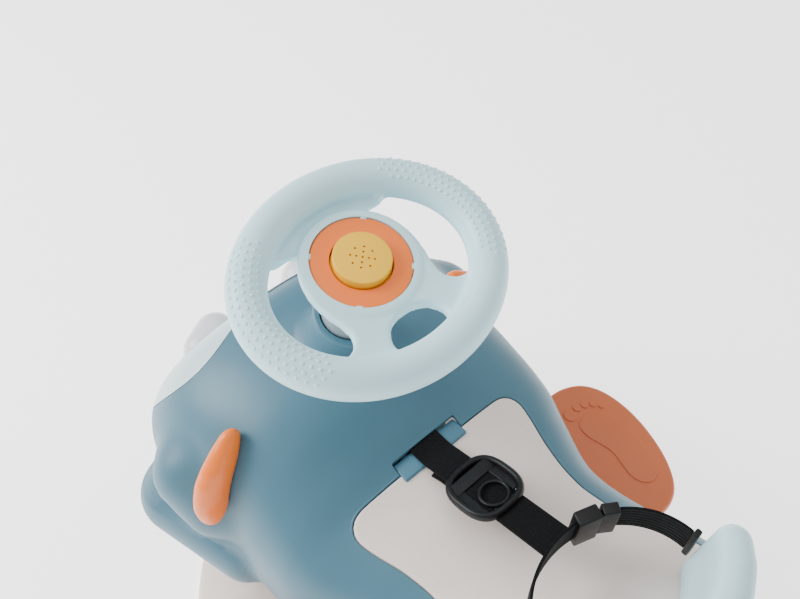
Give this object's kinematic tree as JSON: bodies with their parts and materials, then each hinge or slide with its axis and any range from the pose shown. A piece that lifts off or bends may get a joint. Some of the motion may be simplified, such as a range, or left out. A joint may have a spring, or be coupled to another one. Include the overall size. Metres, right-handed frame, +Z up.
{
  "type": "toddler merry-go-round ride",
  "caption": "Single-seat toddler merry-go-round: saddle, belt, foot rests and an oval play steering wheel with sound button, turning on a ball race over a round floor base.",
  "frame": {"origin": "on the floor at the spin axis, which is the centre of the footprint box", "axes": "+X to the child's right, +Y forward, towards the headlamps, +Z up"},
  "size_m": [0.464, 0.4812, 0.4141],
  "materials": {
    "aqua_plastic": "satin, fine spark texture",
    "pale_aqua_plastic": "satin, fine spark texture",
    "blue_plastic": "satin, fine spark texture",
    "deep_blue_plastic": "satin",
    "orange_plastic": "satin",
    "yellow_plastic": "satin",
    "terracotta_plastic": "satin",
    "white_plastic": "satin",
    "cream_plastic": "satin, fine spark texture",
    "grey_plastic": "satin",
    "black_plastic": "satin",
    "black_webbing": "ribbed woven polyester",
    "foot_rubber": "matt",
    "steel": "zinc plated",
    "board": "solder mask"
  },
  "bodies": {
    "base": {"base_shell": "cream_plastic", "base_plate": "grey_plastic", "base_ballast": "steel", "base_feet": "foot_rubber", "base_screws": "steel", "spindle": "steel", "spindle_lock_nut": "steel", "lower_race": "steel", "thrust_washer": "steel", "spindle_top_nut": "steel"},
    "cage": {"ball_cage": "yellow_plastic", "bearing_balls": "steel"},
    "ride": {"upper_race": "steel", "chassis": "grey_plastic", "lower_hub_bush": "yellow_plastic", "upper_hub_bush": "yellow_plastic", "chassis_screws": "steel", "body_shell": "blue_plastic", "front_panel": "pale_aqua_plastic", "nose_panel": "white_plastic", "headlamp_left": "white_plastic", "headlamp_right": "white_plastic", "seat": "cream_plastic", "backrest": "aqua_plastic", "backrest_bolts": "steel", "fin_left": "orange_plastic", "fin_right": "orange_plastic", "fin_screws": "steel", "footrest_left": "terracotta_plastic", "footrest_right": "terracotta_plastic", "footrest_bolts": "steel", "column_socket": "grey_plastic", "socket_screws": "steel", "column_upper_bush": "black_plastic", "column_lower_bush": "black_plastic", "belt_anchor_bar": "deep_blue_plastic", "crotch_strap": "black_webbing", "strap_slider": "black_plastic", "waist_belt": "black_webbing", "belt_clip_socket": "black_plastic", "belt_clip_tongue": "black_plastic", "belt_anchor_plates": "black_plastic"},
    "steering": {"steering_column": "grey_plastic", "stop_pin": "steel", "column_nut": "steel", "column_bolt": "steel", "steering_wheel": "aqua_plastic", "sound_disc": "orange_plastic", "circuit_board": "board", "speaker": "black_plastic", "battery_tray": "black_plastic", "button_cells": "steel", "button_spring": "steel"},
    "button": {"sound_button": "yellow_plastic"}
  },
  "joints": [
    {"name": "carousel_spin", "type": "hinge", "parent": "base", "child": "ride", "pos_m": [0, 0, 0.09], "axis": [0, 0, 1], "continuous": true},
    {"name": "cage_spin", "type": "hinge", "parent": "base", "child": "cage", "pos_m": [0, 0, 0.056], "axis": [0, 0, 1], "continuous": true},
    {"name": "steering_turn", "type": "hinge", "parent": "ride", "child": "steering", "pos_m": [0, 0.06257, 0.38898], "axis": [0, -0.225, 0.9744], "range_deg": [-45, 45]},
    {"name": "button_press", "type": "slide", "parent": "steering", "child": "button", "axis": [0, 0.225, -0.9744], "range_m": [0, 0.0025], "stiffness_N_per_m": 400, "springref_m": -0.004, "deforming": ["button_spring"]}
  ],
  "couplings": [
    {"joint": "cage_spin", "follows": "carousel_spin", "ratio": 0.5}
  ]
}
